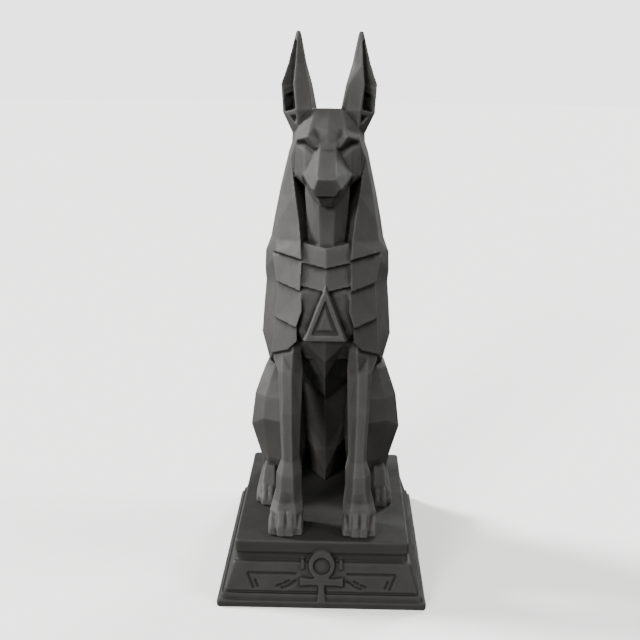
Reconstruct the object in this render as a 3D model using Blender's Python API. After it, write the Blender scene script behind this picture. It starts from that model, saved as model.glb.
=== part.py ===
"""Seated jackal guardian on a stepped plinth, cut in flat facets.

The figure is one solid and the plinth is another. Metres, +Z up, the front faces -Y, and the origin
is the centre of the plinth's underside.
"""
import math

import bmesh
import bpy
from mathutils import Vector

OBJECT_NAME = "seated_jackal_statue"

# Plinth sizes, in metres
PLINTH_WIDTH = 0.0933
PLINTH_DEPTH = 0.1292
BASE_HEIGHT = 0.0030
BAND_HEIGHT = 0.0027
BODY_HEIGHT = 0.0124
NECK_HEIGHT = 0.0039
CAP_HEIGHT = 0.0058
BASE_LEDGE = 0.0012
BAND_SLOPE = 0.0006
GROOVE_HEIGHT = 0.0007
GROOVE_DEPTH = 0.0007
BODY_INSET = 0.0029
BODY_SLOPE = 0.0039
BODY_TOP_CHAMFER = 0.0005
NECK_INSET = 0.0084
CAP_INSET = 0.0078
EDGE_CHAMFER = 0.0004
CORNER_CUT = 0.0010

# Winged ankh on the plinth's front, in metres
LOOP_HEIGHT = 0.0015
LOOP_ROOT = 0.0025
LOOP_CENTRE = 0.0180
LOOP_HALF_WIDTH = 0.0059
LOOP_HALF_HEIGHT = 0.0060
EYE_CENTRE = 0.0176
EYE_HALF_WIDTH = 0.0038
EYE_HALF_HEIGHT = 0.0034
EYE_FLOOR = 0.0001
EYE_CUT_TOP = 0.0030
LOOP_SIDES = 28
ARM_CENTRE = 0.0111
ARM_REACH = 0.0098
ARM_END_HALF = 0.0020
ARM_NECK = 0.0062
ARM_NECK_HALF = 0.0014
ARM_HEIGHT = 0.0016
ARM_ROOT = 0.0022
STEM_FOOT = 0.0026
STEM_TOP_HALF = 0.0012
STEM_FOOT_HALF = 0.0018
STEM_HEIGHT = 0.00155
STEM_ROOT = 0.0028
COBRA_OFFSET = 0.0086
COBRA_FOOT = 0.0160
COBRA_TOP = 0.0205
COBRA_HALF = 0.0007
COBRA_HEIGHT = 0.0008
COBRA_ROOT = 0.0024
WING_LINE_WIDTH = 0.0010
WING_LINE_DEPTH = 0.0008
WING_CUT_TOP = 0.0015

# Wing grooves on one side of the ankh, each through these places across and up, in metres
WING_LINES = (
    ((0.0112, 0.0139), (0.0332, 0.0139), (0.0302, 0.0074)),
    ((0.0300, 0.0115), (0.0283, 0.0080)),
    ((0.0112, 0.0112), (0.0148, 0.0088), (0.0184, 0.0076)),
    ((0.0140, 0.0111), (0.0172, 0.0094), (0.0204, 0.0084)),
)

# Figure sizes: its height in metres, and the gap that keeps the two pieces apart
FIGURE_HEIGHT = 0.2214
SEAT_GAP = 0.0003
# The figure is drawn 221.4 units high, and every row below is in those units: across, back, up
UNIT = FIGURE_HEIGHT / 221.4

PLINTH_HEIGHT = BASE_HEIGHT + BAND_HEIGHT + GROOVE_HEIGHT + BODY_HEIGHT + NECK_HEIGHT + CAP_HEIGHT
SEAT = PLINTH_HEIGHT + SEAT_GAP

# Trunk rings from the shoulders down: half of each, from the middle of the front round to the back
TRUNK = (
    ((0, -36.5, 126), (9.5, -33, 126), (24.5, -18, 126), (27.0, -6, 126), (18, 16, 127), (0, 25, 129)),
    ((0, -38.5, 120), (10, -35, 120), (24.6, -19, 121), (28.6, -6, 122.9), (19, 18, 121), (0, 27, 122)),
    ((0, -41, 113), (10.4, -36, 113), (22.3, -22.5, 114), (28.9, -6, 114), (19.5, 20, 114), (0, 29, 114)),
    ((0, -42.4, 109), (10.6, -39.6, 110), (22, -23.3, 110), (28.4, -6, 108.6), (19.5, 22, 106),
     (0, 31.5, 105)),
    ((0, -42.8, 100), (10.3, -40.4, 100), (23, -23.5, 97), (29.2, -6, 99), (20.5, 25, 96), (0, 35, 94)),
    ((0, -43.0, 90.5), (12, -38.2, 91), (24.2, -23, 86), (30.3, -5, 83.4), (22, 29, 82), (0, 39, 79)),
    ((0, -41.2, 87), (8.8, -36.6, 86), (24.5, -21.5, 76.7), (28.1, -7, 76.0), (22.5, 31, 71),
     (0, 42.5, 67)),
    ((0, -36, 77), (4.9, -31.4, 77.2), (14, -14, 71.5), (26.4, -9, 70.2), (23, 33, 59), (0, 45.5, 55)),
    ((0, -27, 66.7), (1.6, -24, 67.4), (11, -6, 63), (21, 3, 62), (22, 35, 48), (0, 48, 43)),
    ((0, -6.5, 50), (9.8, 1.5, 57), (14, 7, 54), (20, 12, 52), (21, 37, 38), (0, 49, 31)),
    ((0, 0, 36), (9.3, 6.5, 36.5), (13.5, 13, 37), (19, 17, 36), (20, 39, 26), (0, 49.5, 20)),
    ((0, 6.5, 20), (5.2, 9, 19), (11.3, 12, 27.5), (17, 20, 25), (18, 41, 14), (0, 49, 10)),
    ((0, 13.6, 5.5), (3.6, 18, 5.0), (8.6, 28, 7), (15, 32, 8), (16, 42, 5), (0, 48, 4)),
    ((0, 16.4, 0), (3.8, 23, 0), (8.4, 33, 0), (14, 36, 0), (14, 43, 0), (0, 46.5, 0)),
)

# Hood rings from the crown down: half of each, from the middle of the recess round to the back
HOOD = (
    ((0, -2, 181), (7, -4, 181), (12.5, -10, 180), (13.6, -7, 180), (14.2, -2, 180), (10, 8, 182),
     (0, 12, 183)),
    ((0, -4, 168), (13, -8, 168), (16.9, -15.5, 167), (17.7, -11, 168), (18.1, -5, 168.5), (13, 11, 170),
     (0, 16, 171)),
    ((0, -8, 150), (10.5, -12, 150), (14.3, -24.5, 151), (20.4, -15, 150), (22.3, -5, 150), (15.5, 13, 150),
     (0, 20.5, 150)),
    ((0, -14, 138), (8, -19, 138), (12.3, -30.5, 139), (22.3, -18, 138), (24.7, -5.5, 137.8),
     (17, 15.5, 138),
     (0, 23.5, 138)),
    ((0, -16, 130), (8, -23, 131), (11.4, -34.5, 131.5), (23.4, -19.5, 130), (26.1, -6, 129.4),
     (18.2, 17.2, 130), (0, 25.6, 130)),
    ((0, -18, 125), (8, -26, 125), (10.9, -39.2, 124), (22.4, -25, 124.9), (28.5, -6, 122.9),
     (19.3, 18.6, 123),
     (0, 27.4, 123)),
    ((0, -18, 121), (8, -26, 121), (9.2, -32, 122.4), (20, -19, 122.6), (25, -6, 120), (16, 14, 120),
     (0, 23, 120)),
)

# Neck rings down the throat: front corner, side and back of one half
NECK = (
    ((3.5, -33, 166), (9.9, -23, 166), (9, -5, 166)),
    ((3.5, -38, 149), (9.8, -27, 151), (9, -6, 150)),
    ((2.9, -37.2, 130.5), (8.0, -30.5, 131), (8, -8, 131)),
    ((2.9, -37.5, 120), (8.0, -31, 120), (8, -8, 120)),
)

# Stepped collar: the two bands over the throat, each by its middle and its end, top edge then bottom edge
COLLAR_BANDS = (
    (((0, -40.4, 129.2), (9.8, -34.2, 130.6)), ((0, -44.0, 121.0), (10.5, -37.8, 122.4))),
    (((0, -41.6, 121.6), (10.4, -35.4, 123.0)), ((0, -46.0, 110.9), (10.7, -39.8, 112.4))),
)
BAND_ROOT = 9.0

# Chest plates beside the throat, each by the corners of its face, and the depth of their root
CHEST_PLATES = (
    ((10.6, -36.6, 124.6), (24.8, -19.0, 123.0), (22.6, -26.4, 111.8), (11.2, -42.0, 110.4)),
    ((10.8, -39.0, 111.2), (21.9, -23.4, 112.6), (23.4, -26.4, 95.2), (12.8, -43.9, 94.4),
     (10.3, -43.4, 101.6)),
    ((12.6, -41.2, 95.2), (23.0, -23.8, 96.0), (24.9, -24.6, 77.6), (16.8, -36.4, 82.4),
     (12.6, -41.8, 87.6)),
)
PLATE_ROOT = 7.0

# Pyramid pendant: apex height, foot height, half foot, face at the apex and at the foot
PENDANT_APEX = 113.1
PENDANT_FOOT = 89.4
PENDANT_HALF = 9.0
PENDANT_FACE_TOP = -47.4
PENDANT_FACE_FOOT = -47.8
PENDANT_ROOT = 7.0
PENDANT_SPREAD = 1.12
PENDANT_RECESS = 1.1
PENDANT_FRAME = 0.66
PENDANT_INNER = 0.36
PENDANT_INNER_DROP = 0.37

# Skull rings from the back to the cheeks: middle, crown, temple, side, cheek, jaw and throat of one half
SKULL = (
    ((0, 8, 186.5), (5, 8, 186), (11, 8, 183), (14, 7, 175), (14, 6, 166), (12.6, 5, 158), (8, 5, 152)),
    ((0, -19.8, 188.3), (5.8, -19.5, 188.2), (12.6, -15.8, 184.0), (16.3, -11, 177.0), (16.4, -15, 167),
     (14.4, -16, 158), (9, -17, 153)),
    ((0, -31.8, 179.1), (6.2, -28.2, 180.9), (8.0, -28.6, 180.4), (13.7, -21.2, 177.6),
     (16.5, -19.0, 167.4),
     (14.4, -20, 158), (9, -21, 153.5)),
    ((0, -33.4, 175.4), (4.0, -32.8, 174.8), (8.7, -33.2, 177.0), (13.9, -23.6, 176.2),
     (16.5, -19.2, 167.2),
     (14.45, -20.2, 158.2), (9, -21.4, 153.55)),
    ((0, -34.4, 174.3), (3.8, -34.0, 173.8), (5.2, -33.2, 172.0), (10.3, -30.6, 175.9),
     (13.7, -25.2, 174.8),
     (14.5, -20.5, 158.5), (9, -22, 153.6)),
    ((0, -34.9, 173), (3.6, -34.5, 173), (5.6, -30.2, 170.3), (9.8, -26.4, 173.2), (13.4, -24.1, 173.8),
     (14.5, -21, 159), (9, -23, 153.8)),
    ((0, -35.6, 171.2), (3.5, -35.2, 171.2), (6.6, -31.7, 167.7), (10.3, -28.5, 170.6),
     (14.3, -24.2, 172.4),
     (14.2, -22.5, 159.3), (9.5, -24, 154)),
    ((0, -38.4, 168), (3.5, -38, 168), (7.5, -33, 163), (10.0, -31, 161), (11.2, -29, 159.6),
     (11.4, -27, 157.2),
     (8, -27, 154.5)),
)

# Muzzle and lower jaw from the back forward: bridge, lip and floor of one half
MUZZLE = (
    ((3.4, -25, 176.4), (11.8, -25, 161.0), (8.5, -25, 153.0)),
    ((4.1, -53.4, 161.9), (6.4, -51.0, 156.3), (4.4, -49.4, 152.6)),
    ((3.8, -55.3, 160.7), (5.3, -53.3, 156.2), (3.7, -51.6, 153.2)),
)
JAW = (
    ((7.8, -26, 155), (8.6, -27, 152.4), (4.6, -28, 149.0)),
    ((3.7, -48.9, 153.2), (3.4, -49.2, 152.2), (2.5, -44.6, 148.0)),
)

# Ear rings from the tip down: inner edge, inner front, front ridge, outer rim, outer back, inner back
EAR = (
    ((13.0, -9.2, 221.4), (13.3, -9.9, 221.4), (14.1, -10.1, 221.4), (14.9, -9.3, 221.4),
     (14.6, -8.4, 221.4),
     (13.4, -8.4, 221.4)),
    ((12.4, -9.0, 219.4), (12.9, -10.2, 219.4), (14.2, -10.8, 219.4), (15.4, -9.4, 219.4),
     (15.0, -7.8, 219.4),
     (13.0, -7.8, 219.4)),
    ((10.1, -8, 207.5), (10.9, -11.5, 207.5), (14.6, -14.5, 207.5), (18.4, -10.5, 207.5), (16.5, -5, 207.5),
     (12, -4.5, 207.5)),
    ((7.5, -8, 198.4), (8.9, -14.8, 198.4), (15.1, -17.8, 198.4), (21.5, -11, 198.4), (18.5, -3, 198.4),
     (10.5, -2.5, 198.4)),
    ((6.9, -8, 195.6), (8.5, -15.6, 195.6), (14.8, -18.6, 195.6), (21.3, -11.3, 195.5), (18.3, -2.5, 195.6),
     (10, -1.9, 195.6)),
    ((6.5, -8, 193.4), (8.2, -16.2, 193.4), (14.6, -19.2, 193.5), (21.1, -11.5, 193.1), (18.1, -2.1, 193.3),
     (9.6, -1.4, 193.4)),
    ((5.3, -8, 187.4), (7.6, -18.2, 187.4), (13.9, -20.5, 187.8), (20.7, -12, 186.2), (17.5, -1, 187),
     (8.5, 0, 187.4)),
    ((6, -8, 178), (8.4, -20.4, 178), (13.5, -19.2, 180.8), (16.3, -13.3, 177.2), (15, 0, 178),
     (8, 2, 178)),
    ((6, -8, 172), (7.5, -16, 172), (11.5, -18, 172), (14, -12, 172), (12, 0, 172), (8, 2, 172)),
)
# Ear hollow at the ear's second ring and below: floor, share of the way to the rim, and rise at the ridge
EAR_HOLLOW = (
    ((14.4, -9.3, 217.4), 0.97, 0.0),
    ((15.0, -8.6, 207.5), 0.97, 0.0),
    ((15.6, -8.4, 198.4), 0.96, 0.0),
    ((15.7, -8.0, 195.6), 0.92, 0.0),
    ((15.8, -5.2, 193.4), 0.87, 0.0),
    ((15.6, -4.2, 187.0), 0.86, 0.8),
)
HOLLOW_RIDGE_SHARE = 0.10
HOLLOW_REACH = 5.0
# Dimple under the hollow: its inner top, outer top, foot and deepest place
EAR_DIMPLE = ((14.0, -20.8, 186.2), (18.9, -15.2, 185.4), (13.8, -20.4, 180.2), (14.7, -14.6, 183.0))
DIMPLE_FLOOR_SHARE = 0.12
DIMPLE_LIP_SHARE = 1.3

# Foreleg rings from the elbow down: inner back, inner front, ridge, front outer, outer, outer back
FORELEG = (
    ((11, -24, 91), (11, -30, 91), (14.4, -34, 91), (19.0, -28, 88), (23, -22, 86), (20, -18, 88)),
    ((10.8, -25, 82), (10.8, -33.6, 82.8), (14.4, -38.0, 81.6), (19.5, -31.2, 78.4), (24.0, -24.8, 75.6),
     (21, -19, 77.5)),
    ((10.2, -26, 72), (10.0, -32.4, 72.5), (14.9, -36.8, 72), (19.4, -35.2, 71.6), (21.5, -31, 71),
     (19.5, -23, 71)),
    ((10.7, -28, 54), (10.5, -36, 54), (14.7, -42, 54), (19.0, -40.7, 54), (20.4, -35.5, 54),
     (19, -27.5, 54)),
    ((11.3, -31, 32.5), (11.2, -38.5, 32.5), (14.1, -44.8, 32.5), (18.1, -43.9, 32.5), (19.3, -39, 32.5),
     (18, -31.5, 32.5)),
    ((10.0, -32, 26.2), (9.9, -40.5, 26.2), (13.6, -47.2, 26.2), (19.0, -46.4, 26.2), (21.5, -40.5, 26.2),
     (19.5, -32, 26.2)),
    ((10.2, -33, 19), (10.0, -41.4, 19), (13.5, -47.5, 19), (19.1, -46.9, 19), (21.6, -41.4, 19),
     (19.7, -33, 19)),
    ((9.7, -33, 14), (9.5, -42, 14), (12.9, -46.8, 13.7), (20.0, -46.6, 13.7), (23.0, -42, 14),
     (20.6, -33, 14)),
    ((9.2, -33, 9), (9.0, -45, 9.6), (12.2, -49.4, 9.8), (20.9, -49.2, 9.8), (24.2, -45, 9.6),
     (21.2, -33, 9)),
    ((9.2, -33, 4), (9.0, -45.5, 4), (12.0, -52.2, 4), (20.9, -52.0, 4), (24.3, -45.5, 4), (21.2, -33, 4)),
    ((9.6, -34, 0), (9.4, -45, 0), (12.3, -51.8, 0), (20.6, -51.6, 0), (23.8, -45, 0), (20.6, -34, 0)),
)

# Thigh rings from the flank down: inner, front inner, front outer, outer front, outer back, back
THIGH = (
    ((8, 14, 70), (14, 2, 70), (22, 4, 69), (25.5, 8, 68), (24, 26, 68), (12, 34, 68)),
    ((8, 12, 64), (15, -3, 64), (25.0, 0.5, 64), (29.4, 5, 64), (29, 28, 62), (14, 40, 60)),
    ((8, 11, 57.5), (16, -8.5, 57.5), (27.0, -3.5, 57.5), (32.0, 2, 57.5), (31, 30, 55), (14, 44, 52)),
    ((9, 10, 51.5), (16.5, -13, 51.5), (28.8, -6.5, 51.5), (34.0, 0, 51.5), (33, 31, 47), (14, 46, 42)),
    ((9, 9, 38), (17, -15.5, 41), (29.8, -8.6, 41), (35.9, -1, 35.8), (34.5, 31, 33), (14, 47, 28)),
    ((10, 10, 19.5), (18, -9.5, 19.5), (27.6, -3.4, 19.5), (31.4, 2, 19.5), (32, 30, 19), (15, 46, 15)),
    ((12, 14, 7), (20, 0, 7), (27.5, 2, 7), (30, 8, 7), (29.5, 28, 7), (17, 42, 6)),
    ((13, 16, 0), (20, 6, 0), (27, 4, 0), (29, 10, 0), (28.5, 27, 0), (18, 39, 0)),
)

# Hind foot rings from the heel forward: sole inner and outer, side outer, top outer and inner, side inner
HIND_FOOT = (
    ((23, 37, 0), (29.5, 37, 0), (30.5, 37, 4), (29, 34, 10), (24, 34, 10), (22, 37, 4)),
    ((22.2, 10, 0), (31.6, 10, 0), (32.2, 10, 6.5), (28.6, 6, 19.5), (24.6, 6, 19.5), (21.6, 10, 6.5)),
    ((22, -4, 0), (32, -4, 0), (32.5, -4, 5.5), (29.2, -4, 14.6), (24.4, -4, 14.6), (21.4, -4, 5.5)),
    ((22.4, -10, 0), (31.6, -10, 0), (32.0, -10, 4.2), (29.8, -9.6, 9.6), (24.2, -9.6, 9.6),
     (22.0, -10, 4.2)),
    ((23.6, -15.4, 0), (30.2, -15.4, 0), (30.4, -15.2, 2.4), (29.0, -14.6, 5.0), (25.0, -14.6, 5.0),
     (23.4, -15.2, 2.4)),
)

# Toe rows: how many, middle, width, front, height, how far the outer toes sit back, and length
FORE_TOES = (4, 16.7, 15.4, -53.3, 12.8, 1.9, 11.0)
HIND_TOES = (4, 27.1, 11.2, -18.0, 9.2, 4.6, 13.5)
# Toe rings from the front back: share of its width, share of its height, share of its length
TOE = ((0.74, 0.38, 0.0), (0.98, 0.54, 0.08), (1.12, 0.82, 0.30), (1.14, 1.0, 0.60), (0.84, 0.98, 1.0))
TOE_DROP = 0.28
TOE_TOP_SHARE = 0.58

# Tail rings from the rump down: half width, front, back and height; shares of the width front and back
TAIL = (
    (3.0, 40, 47.5, 34), (4.2, 42, 53.0, 20), (4.4, 43, 54.6, 8), (3.8, 44, 54.8, 2.5), (3.2, 44.5, 54.0, 0),
)
TAIL_FRONT_SHARE = 0.6
TAIL_BACK_SHARE = 0.45

STONE = (0.025, 0.024, 0.023, 1.0)
STONE_ROUGHNESS = 0.78
PLINTH_STONE = (0.0155, 0.015, 0.014, 1.0)


def clear_scene():
    """Remove every object, so the model starts from an empty scene."""
    for thing in list(bpy.data.objects):
        bpy.data.objects.remove(thing, do_unlink=True)


def make_collection(name):
    """Return a new collection in the scene."""
    collection = bpy.data.collections.new(name)
    bpy.context.scene.collection.children.link(collection)
    return collection


def make_material(name, colour, roughness):
    """Return a matte Principled material."""
    material = bpy.data.materials.new(name)
    material.use_nodes = True
    shader = material.node_tree.nodes["Principled BSDF"]
    shader.inputs["Base Color"].default_value = colour
    shader.inputs["Roughness"].default_value = roughness
    shader.inputs["Metallic"].default_value = 0.0
    return material


def place(point, side=1):
    """Turn a point of the figure's rows into metres above the plinth, on either side."""
    across, back, up = point
    return Vector((side * across * UNIT, back * UNIT, SEAT + up * UNIT))


def mirrored(half):
    """Close half a ring with its mirror image; points on the middle plane are used once."""
    other = [(-x, y, z) for x, y, z in reversed(half) if abs(x) > 0]
    return list(half) + other


def loft(name, rings, collection):
    """Join rings of equally many corners by flat facets and close both ends."""
    mesh = bmesh.new()
    rows = [[mesh.verts.new(corner) for corner in ring] for ring in rings]
    count = len(rows[0])
    for row, below in zip(rows, rows[1:]):
        for i in range(count):
            j = (i + 1) % count
            mesh.faces.new((row[i], row[j], below[j], below[i]))
    mesh.faces.new(rows[0])
    mesh.faces.new(rows[-1])
    bmesh.ops.triangulate(mesh, faces=mesh.faces[:], quad_method="SHORT_EDGE", ngon_method="BEAUTY")
    bmesh.ops.recalc_face_normals(mesh, faces=mesh.faces[:])
    data = bpy.data.meshes.new(name)
    mesh.to_mesh(data)
    mesh.free()
    thing = bpy.data.objects.new(name, data)
    collection.objects.link(thing)
    return thing


def hide_form(thing):
    """Mark a form that is joined to or cut from a piece, so it is not a piece of its own."""
    thing.hide_render = True
    thing.display_type = "WIRE"


def add_form(name, rings, collection):
    """Make a hidden form by lofting rings given in metres."""
    hide_form(loft(name, rings, collection))


def add_middle_form(name, rows, collection):
    """Make a form that straddles the middle plane from rows of half rings."""
    add_form(name, [[place(point) for point in mirrored(row)] for row in rows], collection)


def add_side_forms(name, rows, collection):
    """Make a form on each side from rows of whole rings."""
    for label, side in (("left", -1), ("right", 1)):
        add_form(f"{name}_{label}", [[place(point, side) for point in row] for row in rows], collection)


def push_back(row, depth):
    """Move a row of points straight back."""
    return [(x, y + depth, z) for x, y, z in row]


def add_collar(forms):
    """Make the collar's bands and chest plates, each proud of the one below it."""
    for number, (top, bottom) in enumerate(COLLAR_BANDS):
        face = mirrored([top[0], top[1], bottom[1], bottom[0]])
        add_form(
            f"collar_band_{number}",
            [[place(point) for point in face], [place(point) for point in push_back(face, BAND_ROOT)]],
            forms,
        )
    for number, face in enumerate(CHEST_PLATES):
        add_side_forms(f"chest_plate_{number}", (face, push_back(face, PLATE_ROOT)), forms)


def pendant_triangle(share, lift):
    """Return the pendant's triangle shrunk about its middle, with its face moved forward by lift."""
    middle = PENDANT_FOOT + (PENDANT_APEX - PENDANT_FOOT) / 3
    apex = middle + (PENDANT_APEX - middle) * share
    foot = middle + (PENDANT_FOOT - middle) * share
    half = PENDANT_HALF * share
    slope = (PENDANT_FACE_TOP - PENDANT_FACE_FOOT) / (PENDANT_APEX - PENDANT_FOOT)

    def face(up):
        return PENDANT_FACE_FOOT + slope * (up - PENDANT_FOOT) - lift

    return [(0, face(apex), apex), (half, face(foot), foot), (-half, face(foot), foot)]


def add_prism(name, near, far, collection):
    """Make a form between two outlines given in the figure's units."""
    add_form(name, [[place(point) for point in near], [place(point) for point in far]], collection)


def add_pendant(forms, cutters, late_forms):
    """Make the pyramid pendant: a raised triangle with a sunk triangle and a small one inside it."""
    add_prism("pendant", pendant_triangle(1, 0), pendant_triangle(PENDANT_SPREAD, -PENDANT_ROOT), forms)
    sunk = pendant_triangle(PENDANT_FRAME, PENDANT_RECESS)
    add_prism("pendant_recess", sunk, push_back(sunk, 2 * PENDANT_RECESS), cutters)
    inner = pendant_triangle(PENDANT_INNER, -PENDANT_INNER_DROP)
    add_prism("pendant_pyramid", inner, push_back(inner, 2 * PENDANT_RECESS), late_forms)


def add_toes(name, row, forms):
    """Make a row of toes; each is a short loft that is low and narrow at its front."""
    count, middle, width, front, height, setback, length = row
    pitch = width / count
    for number in range(count):
        offset = number - (count - 1) / 2
        centre = middle + offset * pitch
        outness = (abs(offset) / ((count - 1) / 2)) ** 2
        start = front + setback * outness
        rise = height * (1 - TOE_DROP * outness)
        rings = []
        for wide, high, along in TOE:
            half = wide * pitch / 2
            top = high * rise
            back = start + along * length
            side = top * TOE_TOP_SHARE
            crest = half * TOE_TOP_SHARE
            around = ((-half, 0), (half, 0), (half, side), (crest, top), (-crest, top), (-half, side))
            rings.append([(centre + across, back, up) for across, up in around])
        add_side_forms(f"{name}_{number}", rings, forms)


def add_ear_hollows(cutters):
    """Make the wedges that cut each ear's hollow, from its front ridge to its rim, and the dimple below."""
    rings = []
    for ring, (floor, rim_share, rise) in zip(EAR[1:], EAR_HOLLOW):
        ridge = Vector(ring[2])
        rim = Vector(ring[3])
        across = rim - ridge
        outward = Vector((across.y, -across.x, 0)).normalized() * HOLLOW_REACH
        near = ridge + across * HOLLOW_RIDGE_SHARE
        far = ridge + across * rim_share
        deep, height = floor[:2], floor[2]
        corners = ((deep, 0), (near, rise), (near + outward, rise), (far + outward, -rise), (far, -rise))
        rings.append([(corner[0], corner[1], height + lift) for corner, lift in corners])
    add_side_forms("ear_hollow", rings, cutters)
    deepest = Vector(EAR_DIMPLE[3])
    mouth = [Vector(corner) for corner in EAR_DIMPLE[:3]]
    floor = [deepest + (corner - deepest) * DIMPLE_FLOOR_SHARE for corner in mouth]
    lip = [deepest + (corner - deepest) * DIMPLE_LIP_SHARE for corner in mouth]
    add_side_forms("ear_dimple", (floor, lip), cutters)


def add_tail(forms):
    """Make the tail that hangs down the rump on to the plinth."""
    rows = [
        ((half * TAIL_FRONT_SHARE, near, up), (half, (near + far) / 2, up), (half * TAIL_BACK_SHARE, far, up))
        for half, near, far, up in TAIL
    ]
    add_middle_form("tail", rows, forms)


def add_boolean(thing, name, operation, collection):
    """Join a collection of forms to a piece, or cut them from it."""
    modifier = thing.modifiers.new(name, "BOOLEAN")
    modifier.operation = operation
    modifier.operand_type = "COLLECTION"
    modifier.collection = collection
    modifier.solver = "EXACT"


def make_figure(pieces, material):
    """Make the jackal as one solid: its forms joined, then cut, then the last small forms joined."""
    forms = make_collection("figure_forms")
    cutters = make_collection("figure_cutters")
    late_forms = make_collection("figure_late_forms")
    figure = loft("jackal_figure", [[place(point) for point in mirrored(row)] for row in TRUNK], pieces)
    add_middle_form("hood", HOOD, forms)
    add_middle_form("neck", NECK, forms)
    add_collar(forms)
    add_pendant(forms, cutters, late_forms)
    add_middle_form("skull", SKULL, forms)
    add_middle_form("muzzle", MUZZLE, forms)
    add_middle_form("jaw", JAW, forms)
    add_side_forms("ear", EAR, forms)
    add_ear_hollows(cutters)
    add_side_forms("foreleg", FORELEG, forms)
    add_side_forms("thigh", THIGH, forms)
    add_side_forms("hind_foot", HIND_FOOT, forms)
    add_toes("fore_toe", FORE_TOES, forms)
    add_toes("hind_toe", HIND_TOES, forms)
    add_tail(forms)
    add_boolean(figure, "join_forms", "UNION", forms)
    add_boolean(figure, "cut_hollows", "DIFFERENCE", cutters)
    add_boolean(figure, "join_late_forms", "UNION", late_forms)
    figure.data.materials.append(material)
    return figure


def plinth_ring(inset, height):
    """Return a rectangle with cut corners, set in from the foot of the plinth."""
    half_width = PLINTH_WIDTH / 2 - inset
    half_depth = PLINTH_DEPTH / 2 - inset
    corners = []
    for turn in range(4):
        across = 1 if turn in (0, 3) else -1
        along = 1 if turn in (0, 1) else -1
        first = Vector((across * (half_width - CORNER_CUT), along * half_depth, height))
        second = Vector((across * half_width, along * (half_depth - CORNER_CUT), height))
        corners += [second, first] if turn in (0, 2) else [first, second]
    return corners


def plinth_profile():
    """Return the plinth's steps from its foot up, as insets and heights."""
    steps = [(0, 0), (0, BASE_HEIGHT - EDGE_CHAMFER), (EDGE_CHAMFER, BASE_HEIGHT)]
    height = BASE_HEIGHT
    steps.append((BASE_LEDGE, height))
    height += BAND_HEIGHT
    steps.append((BASE_LEDGE + BAND_SLOPE, height))
    steps.append((BODY_INSET + GROOVE_DEPTH, height))
    height += GROOVE_HEIGHT
    steps.append((BODY_INSET + GROOVE_DEPTH, height))
    steps.append((BODY_INSET, height))
    height += BODY_HEIGHT
    steps.append((BODY_INSET + BODY_SLOPE, height - BODY_TOP_CHAMFER))
    steps.append((BODY_INSET + BODY_SLOPE + BODY_TOP_CHAMFER, height))
    steps.append((NECK_INSET, height))
    height += NECK_HEIGHT
    steps.append((NECK_INSET, height))
    steps.append((CAP_INSET + EDGE_CHAMFER, height))
    steps.append((CAP_INSET, height + EDGE_CHAMFER))
    height += CAP_HEIGHT
    steps.append((CAP_INSET, height - EDGE_CHAMFER))
    steps.append((CAP_INSET + EDGE_CHAMFER, height))
    return steps


def panel_point(across, up, proud):
    """Return a point over the sloped front panel, at a height, standing proud of it."""
    body_foot = BASE_HEIGHT + BAND_HEIGHT + GROOVE_HEIGHT
    lean = BODY_SLOPE / (BODY_HEIGHT - BODY_TOP_CHAMFER)
    face = -PLINTH_DEPTH / 2 + BODY_INSET + (up - body_foot) * lean
    return Vector((across, face - proud, up))


def add_relief(name, outline, proud, root, collection):
    """Make a slab over the front panel from an outline of places across and up."""
    front = [panel_point(x, z, proud) for x, z in outline]
    back = [panel_point(x, z, -root) for x, z in outline]
    add_form(name, [front, back], collection)


def add_stroke(name, start, end, width, collection):
    """Make the cutter of one straight groove in the front panel."""
    along = Vector((end[0] - start[0], end[1] - start[1])).normalized()
    shift = Vector((-along.y, along.x)) * width / 2
    a = Vector(start)
    b = Vector(end)
    outline = [tuple(a + shift), tuple(b + shift), tuple(b - shift), tuple(a - shift)]
    add_relief(name, outline, WING_CUT_TOP, WING_LINE_DEPTH, collection)


def ellipse(centre, half_width, half_height):
    """Return points round an ellipse on the panel."""
    turns = [2 * math.pi * i / LOOP_SIDES for i in range(LOOP_SIDES)]
    return [(half_width * math.sin(t), centre + half_height * math.cos(t)) for t in turns]


def add_ankh(forms, cutters):
    """Make the ankh: loop with its eye cut out, flared arms, stem, and a cobra on each side."""
    loop = ellipse(LOOP_CENTRE, LOOP_HALF_WIDTH, LOOP_HALF_HEIGHT)
    add_relief("ankh_loop", loop, LOOP_HEIGHT, LOOP_ROOT, forms)
    eye = ellipse(EYE_CENTRE, EYE_HALF_WIDTH, EYE_HALF_HEIGHT)
    add_relief("ankh_eye", eye, EYE_CUT_TOP, -EYE_FLOOR, cutters)
    upper = [(-ARM_REACH, ARM_CENTRE + ARM_END_HALF), (-ARM_NECK, ARM_CENTRE + ARM_NECK_HALF),
             (ARM_NECK, ARM_CENTRE + ARM_NECK_HALF), (ARM_REACH, ARM_CENTRE + ARM_END_HALF)]
    lower = [(x, 2 * ARM_CENTRE - z) for x, z in reversed(upper)]
    add_relief("ankh_arms", upper + lower, ARM_HEIGHT, ARM_ROOT, forms)
    stem = [(-STEM_TOP_HALF, ARM_CENTRE), (STEM_TOP_HALF, ARM_CENTRE), (STEM_FOOT_HALF, STEM_FOOT),
            (-STEM_FOOT_HALF, STEM_FOOT)]
    add_relief("ankh_stem", stem, STEM_HEIGHT, STEM_ROOT, forms)
    for label, side in (("left", -1), ("right", 1)):
        middle = side * COBRA_OFFSET
        cobra = [(middle - COBRA_HALF, COBRA_FOOT), (middle + COBRA_HALF, COBRA_FOOT),
                 (middle + COBRA_HALF, COBRA_TOP - COBRA_HALF), (middle, COBRA_TOP),
                 (middle - COBRA_HALF, COBRA_TOP - COBRA_HALF)]
        add_relief(f"cobra_{label}", cobra, COBRA_HEIGHT, COBRA_ROOT, forms)


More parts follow.
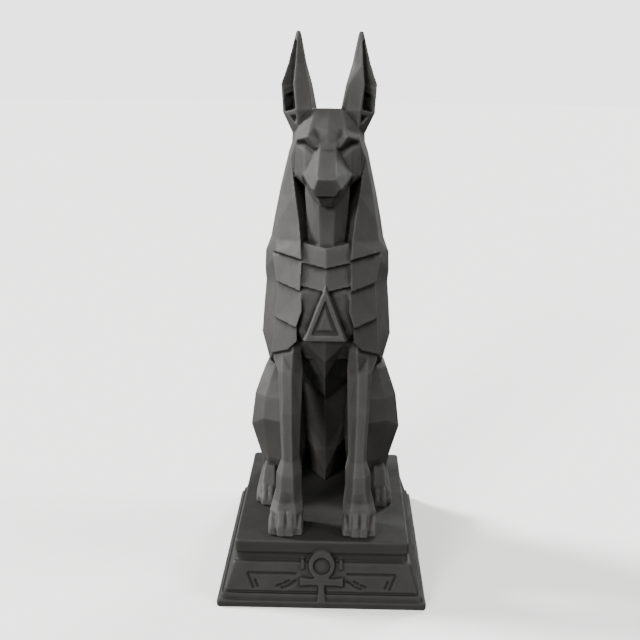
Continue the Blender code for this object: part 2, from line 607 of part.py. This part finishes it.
def add_wings(cutters):
    """Cut each wing's outline and feather lines as grooves with straight runs."""
    for label, side in (("left", -1), ("right", 1)):
        for number, line in enumerate(WING_LINES):
            places = [(side * x, z) for x, z in line]
            for run, (start, end) in enumerate(zip(places, places[1:])):
                add_stroke(f"wing_{label}_{number}_{run}", start, end, WING_LINE_WIDTH, cutters)


def make_plinth(pieces, material):
    """Make the stepped plinth with the winged ankh on its front."""
    forms = make_collection("plinth_forms")
    cutters = make_collection("plinth_cutters")
    plinth = loft("plinth", [plinth_ring(inset, height) for inset, height in plinth_profile()], pieces)
    add_ankh(forms, cutters)
    add_wings(cutters)
    add_boolean(plinth, "join_relief", "UNION", forms)
    add_boolean(plinth, "cut_relief", "DIFFERENCE", cutters)
    plinth.data.materials.append(material)
    return plinth


def main():
    """Build the statue."""
    clear_scene()
    pieces = make_collection(OBJECT_NAME)
    make_figure(pieces, make_material("figure_stone", STONE, STONE_ROUGHNESS))
    make_plinth(pieces, make_material("plinth_stone", PLINTH_STONE, STONE_ROUGHNESS))


main()
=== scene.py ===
"""Seated jackal statue on its stepped plinth, finished as a matte charcoal casting.

The faceted solids are rebuilt as fine surfaces with softly rounded arrises, the way a cast figure's edges are,
and given a grained finish, with highlight painted on the edges and shade painted into the grooves. Metres, +Z
up, the front faces -Y.
"""

import math

import bmesh
import bpy
import numpy as np
from bpy.props import FloatProperty, FloatVectorProperty, IntProperty, PointerProperty
from mathutils import Matrix, Vector


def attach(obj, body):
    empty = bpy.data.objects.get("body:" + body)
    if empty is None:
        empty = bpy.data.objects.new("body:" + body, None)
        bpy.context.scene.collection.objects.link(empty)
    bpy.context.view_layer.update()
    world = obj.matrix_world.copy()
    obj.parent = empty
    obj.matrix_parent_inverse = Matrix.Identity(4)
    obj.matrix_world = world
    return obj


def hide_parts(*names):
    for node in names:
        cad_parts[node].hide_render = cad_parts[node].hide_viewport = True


bl_info = {
    "name": "Seated jackal statue",
    "version": (1, 0, 0),
    "blender": (4, 5, 0),
    "location": "3D View > Sidebar > Statue",
    "description": "Softened facets, charcoal finish, floor, light and camera for the jackal statue",
    "category": "Object",
}

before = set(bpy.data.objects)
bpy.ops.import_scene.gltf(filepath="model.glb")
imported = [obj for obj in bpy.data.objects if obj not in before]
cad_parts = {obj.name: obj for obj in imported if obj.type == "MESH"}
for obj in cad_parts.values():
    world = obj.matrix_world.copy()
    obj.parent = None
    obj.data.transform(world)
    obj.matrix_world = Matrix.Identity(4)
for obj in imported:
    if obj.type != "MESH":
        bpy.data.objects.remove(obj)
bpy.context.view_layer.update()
IMAGE_SIDE = 640
SENSOR_WIDTH = 36.0
CLIP_NEAR = 0.01
CLIP_FAR = 100.0

# Corners of a solid that lie closer than this are one corner, in metres
WELD_DISTANCE = 1e-6
# Each pass of easing: share of the way to the neighbours' mean, and back
EASE_SHARES = (0.60, -0.46)
# Ripple waves: turn per metre along x, y and z, start, and height
RIPPLE_WAVES = (
    (271.0, 90.0, 140.0, 0.4, 1.00),
    (-120.0, 310.0, 205.0, 1.7, 0.80),
    (420.0, -260.0, 330.0, 2.9, 0.55),
    (-610.0, 480.0, 390.0, 0.9, 0.35),
    (880.0, 760.0, -640.0, 2.2, 0.22),
    (-1150.0, 620.0, 980.0, 3.6, 0.15),
)
# Easing passes before the arrises are marked for painted highlight and wear, more passes before the grooves
# are marked for painted shade, and how strongly each shows
ARRIS_PASSES = 3
ARRIS_GAIN = 14.0
PAINTED_SHADE_PASSES = 4
PAINTED_SHADE_GAIN = 32.0

# Noise textures of the finish: scale per metre, detail and roughness
DRIFT_NOISE = (38.0, 4.0, 0.55)
SPECK_NOISE = (900.0, 2.0, 0.6)
ROUGH_NOISE = (120.0, 3.0, 0.6)
GRAIN_NOISE = (2200.0, 3.0, 0.62)
# Range of each noise that is spread over the whole of what it drives
DRIFT_RANGE = (0.36, 0.66)
SPECK_RANGE = (0.40, 0.68)
ROUGH_RANGE = (0.3, 0.7)
FULL_RANGE = (0.0, 1.0)
# How much of the edge colour, a painted highlight and wear from rubbing, shows between the specks and on them
WEAR_AND_HIGHLIGHT_SHARES = (0.45, 1.0)
# How far the roughness falls and rises about its mean
ROUGH_FALL = 0.07
ROUGH_RISE = 0.09
GRAIN_STRENGTH = 0.55
FINISH_SPECULAR = 0.14
# Place of each piece's pattern: the seed is turned into a shift along x, y and z
FIGURE_SEED = 1.7
PLINTH_SEED = 5.3
SEED_SHIFT = (1.0, 0.37, -0.61)
# Sockets of a colour mix: the colour below, the colour above and the result
MIX_BELOW = 6
MIX_ABOVE = 7
MIX_RESULT = 2

# Floor: rings and sides of its grid, and its plain matte paint
FLOOR_RINGS = 24
FLOOR_SIDES = 96
FLOOR_ROUGHNESS = 0.9
FLOOR_SPECULAR = 0.1
WARM_WHITE = (1.0, 0.995, 0.985)
PLAIN_WHITE = (1.0, 1.0, 1.0)
# Lights: name, azimuth from the front towards +X and elevation in degrees, and colour
LIGHTS = (
    ("key", -25.0, 17.0, WARM_WHITE),
    ("top", 0.0, 44.0, WARM_WHITE),
    ("side", -110.0, 28.0, PLAIN_WHITE),
    ("rim", 80.0, 50.0, WARM_WHITE),
    ("back", 150.0, 30.0, PLAIN_WHITE),
)
# Band of the surroundings, in sines of the elevation: where it starts, where it ends and where it is white
BAND_LOW = -0.10
BAND_HIGH = 0.14
BAND_WHITE = (-0.055, 0.06)


class StatueSurface(bpy.types.PropertyGroup):
    """Sizes of the rebuilt surfaces."""

    figure_cell: FloatProperty(
        name="Figure cell", description="Grid size at which the figure's surface is rebuilt",
        default=0.00042, min=0.0002, unit="LENGTH", precision=5,
    )
    figure_passes: IntProperty(
        name="Figure rounding", description="How many times the figure's arrises are eased", default=4, min=0,
    )
    figure_triangles: IntProperty(
        name="Figure triangles", description="Most triangles kept on the figure", default=180000, min=1000,
    )
    plinth_cell: FloatProperty(
        name="Plinth cell", description="Grid size at which the plinth's surface is rebuilt",
        default=0.00038, min=0.0002, unit="LENGTH", precision=5,
    )
    plinth_passes: IntProperty(
        name="Plinth rounding", description="How many times the plinth's arrises are eased", default=3, min=0,
    )
    plinth_triangles: IntProperty(
        name="Plinth triangles", description="Most triangles kept on the plinth", default=120000, min=1000,
    )
    ripple: FloatProperty(
        name="Ripple", description="Height of the slight unevenness that casting leaves on the facets",
        default=0.00005, min=0.0, unit="LENGTH", precision=6,
    )


class StatueFinish(bpy.types.PropertyGroup):
    """Colours, roughness and grain of the charcoal finish, with a painted highlight on the edges and painted
    shade in the grooves.
    """

    body_colour: FloatVectorProperty(
        name="Body colour", description="Main charcoal colour", subtype="COLOR", size=4,
        default=(0.0232, 0.0226, 0.0212, 1.0), min=0.0, max=1.0,
    )
    cloud_colour: FloatVectorProperty(
        name="Cloud colour", description="Lighter charcoal that drifts over the facets",
        subtype="COLOR", size=4, default=(0.0280, 0.0273, 0.0256, 1.0), min=0.0, max=1.0,
    )
    # Painted highlight and wear: a lighter colour laid along the outer edges where they catch the light,
    # broken by specks like wear from rubbing
    wear_and_highlight_colour: FloatVectorProperty(
        name="Arris colour", description="Rubbed colour along the edges", subtype="COLOR", size=4,
        default=(0.0380, 0.0372, 0.0355, 1.0), min=0.0, max=1.0,
    )
    # Painted shade: a dark colour laid into the grooves and creases where shade falls
    painted_shade_colour: FloatVectorProperty(
        name="Recess colour", description="Dark colour that settles in the grooves", subtype="COLOR", size=4,
        default=(0.0100, 0.0095, 0.0085, 1.0), min=0.0, max=1.0,
    )
    plinth_shade: FloatProperty(
        name="Plinth shade", description="Colour of the plinth as a share of the figure's", subtype="FACTOR",
        default=0.47, min=0.0, max=1.0,
    )
    roughness: FloatProperty(
        name="Roughness", description="Mean roughness of the finish", subtype="FACTOR",
        default=0.66, min=0.0, max=1.0,
    )
    grain: FloatProperty(
        name="Grain", description="Depth of the fine grain",
        default=0.00002, min=0.0, unit="LENGTH", precision=6,
    )


class StatueStage(bpy.types.PropertyGroup):
    """Floor, light and camera."""

    floor_radius: FloatProperty(
        name="Floor radius", description="Radius of the round floor", default=6.0, min=0.5, unit="LENGTH",
    )
    floor_colour: FloatVectorProperty(
        name="Floor colour", description="Plain pale floor", subtype="COLOR", size=4,
        default=(0.76, 0.76, 0.75, 1.0), min=0.0, max=1.0,
    )
    key_strength: FloatProperty(
        name="Key strength", description="Strength of the light low at the front left",
        default=5.5, min=0.0,
    )
    top_strength: FloatProperty(
        name="Top strength", description="Strength of the light high at the front",
        default=2.3, min=0.0,
    )
    side_strength: FloatProperty(
        name="Side strength", description="Strength of the light from the left, a little behind",
        default=11.4, min=0.0,
    )
    rim_strength: FloatProperty(
        name="Rim strength", description="Strength of the light high on the right",
        default=2.1, min=0.0,
    )
    back_strength: FloatProperty(
        name="Back strength", description="Strength of the light from behind on the right",
        default=3.0, min=0.0,
    )
    softness: FloatProperty(
        name="Softness", description="How wide each light looks from the statue", subtype="ANGLE",
        default=math.radians(16.0), min=0.0,
    )
    horizon_strength: FloatProperty(
        name="Horizon strength", description="Brightness of the pale band round the horizon",
        default=2.9, min=0.0,
    )
    overhead_share: FloatProperty(
        name="Overhead share", description="Brightness overhead as a share of the horizon's",
        subtype="FACTOR", default=0.10, min=0.0, max=1.0,
    )
    below_share: FloatProperty(
        name="Below share", description="Brightness below the floor as a share of the horizon's",
        subtype="FACTOR", default=0.03, min=0.0, max=1.0,
    )
    camera_place: FloatVectorProperty(
        name="Camera place", description="Where the camera stands",
        subtype="TRANSLATION", unit="LENGTH", size=3, default=(0.00644, -0.51156, 0.23801),
    )
    camera_yaw: FloatProperty(
        name="Yaw", description="Camera turn from straight ahead", subtype="ANGLE",
        default=math.radians(-1.07),
    )
    camera_pitch: FloatProperty(
        name="Pitch", description="Camera tilt down", subtype="ANGLE",
        default=math.radians(13.34),
    )
    camera_roll: FloatProperty(
        name="Roll", description="Camera roll", subtype="ANGLE",
        default=math.radians(-0.66),
    )
    focal_pixels: FloatProperty(
        name="Focal length", description="Focal length in pixels of the square picture",
        default=1100.0, min=10.0,
    )


def merged_copy(node, name):
    """Copy a solid's mesh into a new object and merge its loose triangles."""
    mesh = bmesh.new()
    mesh.from_mesh(node.data)
    bmesh.ops.remove_doubles(mesh, verts=mesh.verts[:], dist=WELD_DISTANCE)
    data = bpy.data.meshes.new(name)
    mesh.to_mesh(data)
    mesh.free()
    piece = bpy.data.objects.new(name, data)
    bpy.context.scene.collection.objects.link(piece)
    return piece


def apply_modifiers(piece):
    """Replace the piece's mesh with the result of its modifiers."""
    graph = bpy.context.evaluated_depsgraph_get()
    data = bpy.data.meshes.new_from_object(piece.evaluated_get(graph))
    old = piece.data
    piece.modifiers.clear()
    piece.data = data
    data.name = piece.name
    bpy.data.meshes.remove(old)


def points_of(data):
    """Return a mesh's corners as an array of rows x, y, z."""
    points = np.empty(len(data.vertices) * 3)
    data.vertices.foreach_get("co", points)
    return points.reshape(-1, 3)


def normals_of(data):
    """Return the directions in which a mesh's corners face."""
    normals = np.empty(len(data.vertices) * 3, np.float32)
    data.vertex_normals.foreach_get("vector", normals)
    return normals.reshape(-1, 3).astype(float)


def neighbour_mean(values, edges, degree):
    """Mean over each corner's neighbours: the sum of the values at its edges' far ends, over their number."""
    near, far = edges.T
    count = len(degree)
    columns = [np.bincount(near, values[far, k], count) + np.bincount(far, values[near, k], count)
               for k in range(values.shape[1])]
    return np.stack(columns, axis=1) / degree[:, None]


def ease_arrises(points, edges, degree, passes):
    """Round the edges: each pass moves corners six tenths of the way to their neighbours' mean, then back.

    The step back is shorter and undoes most of the shrinking, so it is mainly what is narrower than a few
    cells that is eased.
    """
    for _ in range(passes):
        for share in EASE_SHARES:
            points = points + (neighbour_mean(points, edges, degree) - points) * share
    return points


def ripple_height(points):
    """Slight unevenness: a weighted mean of sine waves in slanting directions, from 20 mm to 4 mm long."""
    waves = np.array(RIPPLE_WAVES)
    phase = points @ waves[:, :3].T + waves[:, 3]
    return np.sin(phase) @ waves[:, 4] / waves[:, 4].sum()


def write_attribute(data, name, values):
    """Store one number per corner on the mesh."""
    layer = data.attributes.new(name, "FLOAT", "POINT")
    layer.data.foreach_set("value", values.astype(np.float32))


def mark_arrises(data, points, edges, degree, cell):
    """Store how sharply the surface turns: arris on outer edges, for painted highlight and wear, and painted
    shade in grooves.

    The turn is how far the neighbours' mean lies along the facing direction, in shares of the cell size,
    eased over a few cells.
    """
    offset = neighbour_mean(points, edges, degree) - points
    turn = (np.einsum("ij,ij->i", offset, normals_of(data)) / cell)[:, None]
    for _ in range(ARRIS_PASSES):
        turn = neighbour_mean(turn, edges, degree)
    # Outer edges, which the finish paints lighter as a painted highlight and as wear from rubbing
    write_attribute(data, "arris", np.clip(-turn[:, 0] * ARRIS_GAIN, 0.0, 1.0))
    # Grooves, which the finish paints dark as painted shade
    for _ in range(PAINTED_SHADE_PASSES):
        turn = neighbour_mean(turn, edges, degree)
    write_attribute(data, "recess", np.clip(turn[:, 0] * PAINTED_SHADE_GAIN, 0.0, 1.0))


def rebuild_surface(piece, cell, passes, ripple, triangles):
    """Rebuild a solid as a fine closed surface: eased arrises, a slight ripple, few faces on flat places.

    The grid gives square faces, two triangles each. They are thinned by the share of the triangles to keep.
    """
    remesh = piece.modifiers.new("cells", "REMESH")
    remesh.mode = "VOXEL"
    remesh.voxel_size = cell
    remesh.adaptivity = 0.0
    apply_modifiers(piece)
    data = piece.data
    edges = np.empty(len(data.edges) * 2, np.int32)
    data.edges.foreach_get("vertices", edges)
    edges = edges.reshape(-1, 2)
    degree = np.bincount(edges.ravel(), minlength=len(data.vertices)).astype(float)
    points = ease_arrises(points_of(data), edges, degree, passes)
    data.vertices.foreach_set("co", points.ravel())
    data.update()
    points = points + normals_of(data) * (ripple_height(points) * ripple)[:, None]
    data.vertices.foreach_set("co", points.ravel())
    data.update()
    mark_arrises(data, points, edges, degree, cell)
    faces = 2 * len(data.polygons)
    if faces > triangles:
        thin = piece.modifiers.new("thin", "DECIMATE")
        thin.ratio = triangles / faces
        apply_modifiers(piece)
    piece.data.polygons.foreach_set("use_smooth", np.ones(len(piece.data.polygons), bool))
    piece.data.update()


def add_node(tree, kind, place, **values):
    """Add a shader node at a place in the tree and set its options."""
    node = tree.nodes.new(kind)
    node.location = place
    for key, value in values.items():
        setattr(node, key, value)
    return node


def charcoal(name, finish, shade, seed):
    """Matte charcoal: drifting cloud, arrises painted lighter as highlight and as wear from rubbing, shade
    painted dark into the grooves, uneven roughness and a fine grain.
    """
    body, cloud, rubbed_and_lit, dark = [
        tuple(channel * shade for channel in colour[:3]) + (1.0,)
        for colour in (finish.body_colour, finish.cloud_colour, finish.wear_and_highlight_colour, finish.painted_shade_colour)
    ]
    material = bpy.data.materials.new(name)
    material.use_nodes = True
    tree = material.node_tree
    link = tree.links.new
    shader = tree.nodes["Principled BSDF"]
    shader.inputs["Metallic"].default_value = 0.0
    shader.inputs["Specular IOR Level"].default_value = FINISH_SPECULAR
    coords = add_node(tree, "ShaderNodeTexCoord", (-1400, 0))
    mapping = add_node(tree, "ShaderNodeMapping", (-1220, 0))
    mapping.inputs["Location"].default_value = tuple(share * seed for share in SEED_SHIFT)
    link(coords.outputs["Object"], mapping.inputs["Vector"])

    def noise(kind, place):
        """Add a noise texture from its scale per metre, detail and roughness."""
        node = add_node(tree, "ShaderNodeTexNoise", place)
        for key, number in zip(("Scale", "Detail", "Roughness"), kind):
            node.inputs[key].default_value = number
        link(mapping.outputs["Vector"], node.inputs["Vector"])
        return node.outputs["Fac"]

    def blend(factor, below, above, place):
        """Add a colour mix from below to above."""
        node = add_node(tree, "ShaderNodeMix", place, data_type="RGBA")
        link(factor, node.inputs["Factor"])
        for socket, value in ((node.inputs[MIX_BELOW], below), (node.inputs[MIX_ABOVE], above)):
            if isinstance(value, bpy.types.NodeSocket):
                link(value, socket)
            else:
                socket.default_value = value
        return node.outputs[MIX_RESULT]

    def span(value, low, high, place):
        """Add a map of a value from one range to another, clamped."""
        node = add_node(tree, "ShaderNodeMapRange", place)
        for key, number in zip(("From Min", "From Max", "To Min", "To Max"), low + high):
            node.inputs[key].default_value = number
        link(value, node.inputs["Value"])
        return node.outputs["Result"]

    drift = span(noise(DRIFT_NOISE, (-1000, 320)), DRIFT_RANGE, FULL_RANGE, (-800, 320))
    speck = span(noise(SPECK_NOISE, (-1000, 80)), SPECK_RANGE, FULL_RANGE, (-800, 80))
    arris = add_node(tree, "ShaderNodeAttribute", (-1000, -160), attribute_name="arris")
    recess = add_node(tree, "ShaderNodeAttribute", (-1000, -360), attribute_name="recess")
    colour = blend(drift, body, cloud, (-560, 320))
    # Painted highlight and wear: the edges are painted lighter, broken by specks
    wear_and_highlight = add_node(tree, "ShaderNodeMath", (-560, 60), operation="MULTIPLY")
    link(arris.outputs["Fac"], wear_and_highlight.inputs[0])
    link(span(speck, FULL_RANGE, WEAR_AND_HIGHLIGHT_SHARES, (-700, -60)), wear_and_highlight.inputs[1])
    colour = blend(wear_and_highlight.outputs["Value"], colour, rubbed_and_lit, (-360, 240))
    # Painted shade: the grooves are painted dark
    colour = blend(recess.outputs["Fac"], colour, dark, (-180, 200))
    link(colour, shader.inputs["Base Color"])
    rough_span = (finish.roughness - ROUGH_FALL, finish.roughness + ROUGH_RISE)
    rough = span(noise(ROUGH_NOISE, (-1000, -560)), ROUGH_RANGE, rough_span, (-560, -420))
    link(rough, shader.inputs["Roughness"])
    bump = add_node(tree, "ShaderNodeBump", (-180, -240))
    bump.inputs["Strength"].default_value = GRAIN_STRENGTH
    bump.inputs["Distance"].default_value = finish.grain
    link(noise(GRAIN_NOISE, (-560, -640)), bump.inputs["Height"])
    link(bump.outputs["Normal"], shader.inputs["Normal"])
    return material


def dress(node_name, piece_name, slot, cell, passes, triangles, shade, seed):
    """Rebuild one solid as a finished piece that stands for it."""
    scene = bpy.context.scene
    piece = merged_copy(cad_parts[node_name], piece_name)
    rebuild_surface(piece, cell, passes, scene.statue_surface.ripple, triangles)
    piece.data.materials.clear()
    piece.data.materials.append(charcoal(f"{slot}_charcoal", scene.statue_finish, shade, seed))
    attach(piece, "root")
    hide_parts(node_name)


class STATUE_OT_figure(bpy.types.Operator):
    """Finish the seated jackal."""

    bl_idname = "statue.figure"
    bl_label = "Finish figure"

    def execute(self, context):
        surface = context.scene.statue_surface
        dress("jackal_figure", "jackal_casting", "figure", surface.figure_cell, surface.figure_passes,
              surface.figure_triangles, 1.0, FIGURE_SEED)
        return {"FINISHED"}


class STATUE_OT_plinth(bpy.types.Operator):
    """Finish the stepped plinth."""

    bl_idname = "statue.plinth"
    bl_label = "Finish plinth"

    def execute(self, context):
        surface = context.scene.statue_surface
        dress("plinth", "plinth_casting", "plinth", surface.plinth_cell, surface.plinth_passes,
              surface.plinth_triangles, context.scene.statue_finish.plinth_shade, PLINTH_SEED)
        return {"FINISHED"}


def disc(name, radius):
    """Flat round floor: ring i lies out by the radius times the square of i over the rings.

    Corner j of a ring lies at j over the sides of a full turn. A fan of triangles closes the middle.
    """
    rings, sides = FLOOR_RINGS, FLOOR_SIDES
    share, turn = np.meshgrid(np.linspace(0.0, 1.0, rings + 1)[1:] ** 2,
                              np.linspace(0.0, 2 * math.pi, sides, endpoint=False), indexing="ij")
    reach = radius * share
    grid = np.stack([reach * np.cos(turn), reach * np.sin(turn), np.zeros_like(turn)], axis=-1)
    points = np.vstack([grid.reshape(-1, 3), np.zeros((1, 3))])
    index = np.arange(rings * sides).reshape(rings, sides)
    after = np.roll(index, -1, axis=1)
    quads = np.stack([index[:-1], index[1:], after[1:], after[:-1]], axis=-1).reshape(-1, 4)
    centre = rings * sides
    fan = np.stack([np.full(sides, centre), index[0], after[0]], axis=-1)
    data = bpy.data.meshes.new(name)
    data.from_pydata(points.tolist(), [], quads.tolist() + fan.tolist())
    piece = bpy.data.objects.new(name, data)
    bpy.context.scene.collection.objects.link(piece)
    return piece


def add_sun(name, azimuth, elevation, strength, softness, colour):
    """Add a soft distant light from an azimuth and an elevation in degrees.

    Its source lies along x = sine of azimuth, y = minus cosine of azimuth, both times the cosine of the
    elevation, and z = sine of elevation.
    """
    turn, rise = math.radians(azimuth), math.radians(elevation)
    lamp = bpy.data.lights.new(name, "SUN")
    lamp.energy = strength
    lamp.angle = softness
    lamp.color = colour
    thing = bpy.data.objects.new(name, lamp)
    source = Vector((math.sin(turn) * math.cos(rise), -math.cos(turn) * math.cos(rise), math.sin(rise)))
    thing.rotation_euler = (-source).to_track_quat("-Z", "Y").to_euler()
    bpy.context.scene.collection.objects.link(thing)


def set_surroundings(strength, overhead, below):
    """Pale band at the horizon that fades to a dim overhead, and to dark below the floor."""
    world = bpy.data.worlds.new("pale_studio")
    world.use_nodes = True
    bpy.context.scene.world = world
    tree = world.node_tree
    background = tree.nodes["Background"]
    background.inputs["Strength"].default_value = strength
    coords = add_node(tree, "ShaderNodeTexCoord", (-800, 0))
    split = add_node(tree, "ShaderNodeSeparateXYZ", (-600, 0))
    rise = add_node(tree, "ShaderNodeMapRange", (-500, -200))
    rise.inputs["From Min"].default_value = BAND_LOW
    rise.inputs["From Max"].default_value = BAND_HIGH
    ramp = add_node(tree, "ShaderNodeValToRGB", (-300, 0))
    stops = ramp.color_ramp.elements
    stops[0].color = (below, below, below, 1.0)
    stops[1].color = (overhead, overhead, overhead, 1.0)
    for height in BAND_WHITE:
        stops.new((height - BAND_LOW) / (BAND_HIGH - BAND_LOW)).color = (1.0, 1.0, 1.0, 1.0)
    tree.links.new(coords.outputs["Generated"], split.inputs["Vector"])
    tree.links.new(split.outputs["Z"], rise.inputs["Value"])
    tree.links.new(rise.outputs["Result"], ramp.inputs["Fac"])
    tree.links.new(ramp.outputs["Color"], background.inputs["Color"])


def add_camera(stage):
    """Add the camera: yaw, pitch down and roll turn it from looking along +Y.

    The lens is the focal length in pixels over the picture's side, times the sensor width.
    """
    yaw, pitch, roll = stage.camera_yaw, stage.camera_pitch, stage.camera_roll
    ahead = Vector((math.sin(yaw) * math.cos(pitch), math.cos(yaw) * math.cos(pitch), -math.sin(pitch)))
    level = Vector((math.cos(yaw), -math.sin(yaw), 0.0))
    down = ahead.cross(level)
    right = math.cos(roll) * level + math.sin(roll) * down
    up = math.sin(roll) * level - math.cos(roll) * down
    data = bpy.data.cameras.new("camera")
    data.sensor_width = SENSOR_WIDTH
    data.lens = stage.focal_pixels / IMAGE_SIDE * data.sensor_width
    data.clip_start = CLIP_NEAR
    data.clip_end = CLIP_FAR
    camera = bpy.data.objects.new("camera", data)
    turn = Matrix((right, up, -ahead)).transposed().to_4x4()
    camera.matrix_world = Matrix.Translation(Vector(stage.camera_place)) @ turn
    bpy.context.scene.collection.objects.link(camera)
    bpy.context.scene.camera = camera


class STATUE_OT_stage(bpy.types.Operator):
    """Add the floor, the lights and the camera."""

    bl_idname = "statue.stage"
    bl_label = "Set stage"

    def execute(self, context):
        stage = context.scene.statue_stage
        floor = disc("floor", stage.floor_radius)
        paint = bpy.data.materials.new("floor_paint")
        paint.use_nodes = True
        shader = paint.node_tree.nodes["Principled BSDF"]
        shader.inputs["Base Color"].default_value = tuple(stage.floor_colour)
        shader.inputs["Roughness"].default_value = FLOOR_ROUGHNESS
        shader.inputs["Specular IOR Level"].default_value = FLOOR_SPECULAR
        floor.data.materials.append(paint)
        # The pale floor throws no light on the statue, so the parts that face down stay dark
        floor.visible_diffuse = False
        floor.visible_glossy = False
        for name, azimuth, elevation, colour in LIGHTS:
            add_sun(name, azimuth, elevation, getattr(stage, f"{name}_strength"), stage.softness, colour)
        set_surroundings(stage.horizon_strength, stage.overhead_share, stage.below_share)
        add_camera(stage)
        return {"FINISHED"}


class STATUE_PT_panel(bpy.types.Panel):
    """Statue settings and steps in the sidebar."""

    bl_idname = "STATUE_PT_panel"
    bl_label = "Jackal statue"
    bl_space_type = "VIEW_3D"
    bl_region_type = "UI"
    bl_category = "Statue"

    def draw(self, context):
        for group in (context.scene.statue_surface, context.scene.statue_finish, context.scene.statue_stage):
            box = self.layout.box()
            for key in group.__annotations__:
                box.prop(group, key)
        for step in STEPS:
            self.layout.operator(step.bl_idname)


GROUPS = (StatueSurface, StatueFinish, StatueStage)
STEPS = (STATUE_OT_figure, STATUE_OT_plinth, STATUE_OT_stage)


def register():
    """Register the settings, the steps and the panel."""
    for item in GROUPS + STEPS + (STATUE_PT_panel,):
        bpy.utils.register_class(item)
    bpy.types.Scene.statue_surface = PointerProperty(type=StatueSurface)
    bpy.types.Scene.statue_finish = PointerProperty(type=StatueFinish)
    bpy.types.Scene.statue_stage = PointerProperty(type=StatueStage)


def unregister():
    """Take everything that register added away again."""
    del bpy.types.Scene.statue_stage
    del bpy.types.Scene.statue_finish
    del bpy.types.Scene.statue_surface
    for item in reversed(GROUPS + STEPS + (STATUE_PT_panel,)):
        bpy.utils.unregister_class(item)


def main():
    """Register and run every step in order."""
    register()
    bpy.ops.statue.figure()
    bpy.ops.statue.plinth()
    bpy.ops.statue.stage()


if __name__ == "__main__":
    main()
